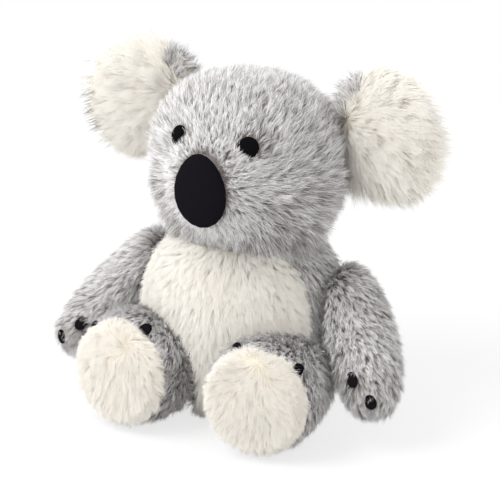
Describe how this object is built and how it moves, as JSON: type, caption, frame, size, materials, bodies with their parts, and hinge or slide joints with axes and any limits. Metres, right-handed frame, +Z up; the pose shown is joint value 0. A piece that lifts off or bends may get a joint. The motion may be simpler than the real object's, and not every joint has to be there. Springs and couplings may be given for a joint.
{
  "type": "plush hot water bottle",
  "caption": "Seated plush koala with turning head and limbs, a flap in its back, and a small rubber hot water bottle with a screw stopper inside.",
  "frame": {"origin": "middle of the flat place that the koala sits on", "axes": "+Z up, the koala looks along -Y, +X towards its left side"},
  "size_m": [0.3344, 0.1974, 0.313],
  "materials": {
    "grey_fur": "long-pile plush, light tips over darker roots",
    "white_fur": "ivory long-pile plush",
    "black_pad": "matte black short-nap velour",
    "lining": "plain woven polyester lining",
    "tape": "woven hook-and-loop tape",
    "rubber": "moulded natural rubber, matt",
    "ferrule": "moulded nylon",
    "stuffing": "polyester stuffing in a cotton bag"
  },
  "bodies": {
    "body": {"body_back": "grey_fur", "belly_panel": "white_fur", "hook_tape": "tape", "pouch_lining": "lining"},
    "neck": {"neck_core": "stuffing"},
    "head": {"head": "grey_fur", "nose": "black_pad", "eye_left": "black_pad", "eye_right": "black_pad"},
    "flap": {"back_flap": "grey_fur", "loop_tape": "tape"},
    "bottle": {"bottle_front": "rubber", "bottle_back": "rubber", "bottle_neck": "rubber", "neck_ferrule": "ferrule"},
    "washer": {"stopper_washer": "rubber"},
    "stopper": {"stopper": "ferrule"},
    "ear_left": {"ear_left_front": "white_fur", "ear_left_back": "grey_fur"},
    "arm_left": {"arm_left": "grey_fur", "hand_left_claw_inner": "black_pad", "hand_left_claw_tip": "black_pad"},
    "leg_left": {"leg_left": "grey_fur", "sole_left": "white_fur", "foot_left_claw_inner": "black_pad", "foot_left_claw_outer": "black_pad"},
    "ear_right": {"ear_right_front": "white_fur", "ear_right_back": "grey_fur"},
    "arm_right": {"arm_right": "grey_fur", "hand_right_claw_inner": "black_pad", "hand_right_claw_tip": "black_pad"},
    "leg_right": {"leg_right": "grey_fur", "sole_right": "white_fur", "foot_right_claw_inner": "black_pad", "foot_right_claw_outer": "black_pad"}
  },
  "joints": [
    {"name": "neck_turn", "type": "hinge", "parent": "body", "child": "neck", "pos_m": [0, 0.008, 0.163], "axis": [0, 0, 1], "range_deg": [-20, 20]},
    {"name": "neck_nod", "type": "hinge", "parent": "neck", "child": "head", "pos_m": [0, 0.008, 0.163], "axis": [1, 0, 0], "range_deg": [-6, 6]},
    {"name": "back_flap_hinge", "type": "hinge", "parent": "body", "child": "flap", "pos_m": [-0.06285, 0.0605, 0.075], "axis": [0, 0, 1], "range_deg": [0, 150]},
    {"name": "bottle_slide", "type": "slide", "parent": "body", "child": "bottle", "axis": [0, 1, 0], "range_m": [0, 0.088]},
    {"name": "stopper_rise", "type": "slide", "parent": "bottle", "child": "washer", "axis": [0, 0, 1], "range_m": [0, 0.009]},
    {"name": "stopper_turn", "type": "hinge", "parent": "washer", "child": "stopper", "pos_m": [0, 0.03085, 0.112], "axis": [0, 0, 1], "range_deg": [0, 1080]},
    {"name": "ear_left_flex", "type": "hinge", "parent": "head", "child": "ear_left", "pos_m": [0.07, 0.034, 0.253], "axis": [0, 0, 1], "range_deg": [-18, 18], "stiffness_Nm_per_rad": 0.3},
    {"name": "shoulder_left", "type": "hinge", "parent": "body", "child": "arm_left", "pos_m": [0.074, 0.01, 0.127], "axis": [1, 0, 0], "range_deg": [-18, 24]},
    {"name": "hip_left", "type": "hinge", "parent": "body", "child": "leg_left", "pos_m": [0.052, -0.008, 0.0435], "axis": [0, 0, 1], "range_deg": [-4, 6]},
    {"name": "ear_right_flex", "type": "hinge", "parent": "head", "child": "ear_right", "pos_m": [-0.07, 0.034, 0.253], "axis": [0, 0, -1], "range_deg": [-18, 18], "stiffness_Nm_per_rad": 0.3},
    {"name": "shoulder_right", "type": "hinge", "parent": "body", "child": "arm_right", "pos_m": [-0.074, 0.01, 0.127], "axis": [1, 0, 0], "range_deg": [-18, 24]},
    {"name": "hip_right", "type": "hinge", "parent": "body", "child": "leg_right", "pos_m": [-0.052, -0.008, 0.0435], "axis": [0, 0, -1], "range_deg": [-4, 6]}
  ],
  "couplings": [
    {"joint": "bottle_slide", "follows": "back_flap_hinge", "m_per_rad": 0.0328},
    {"joint": "stopper_turn", "follows": "stopper_rise", "rad_per_m": 2094.4}
  ]
}
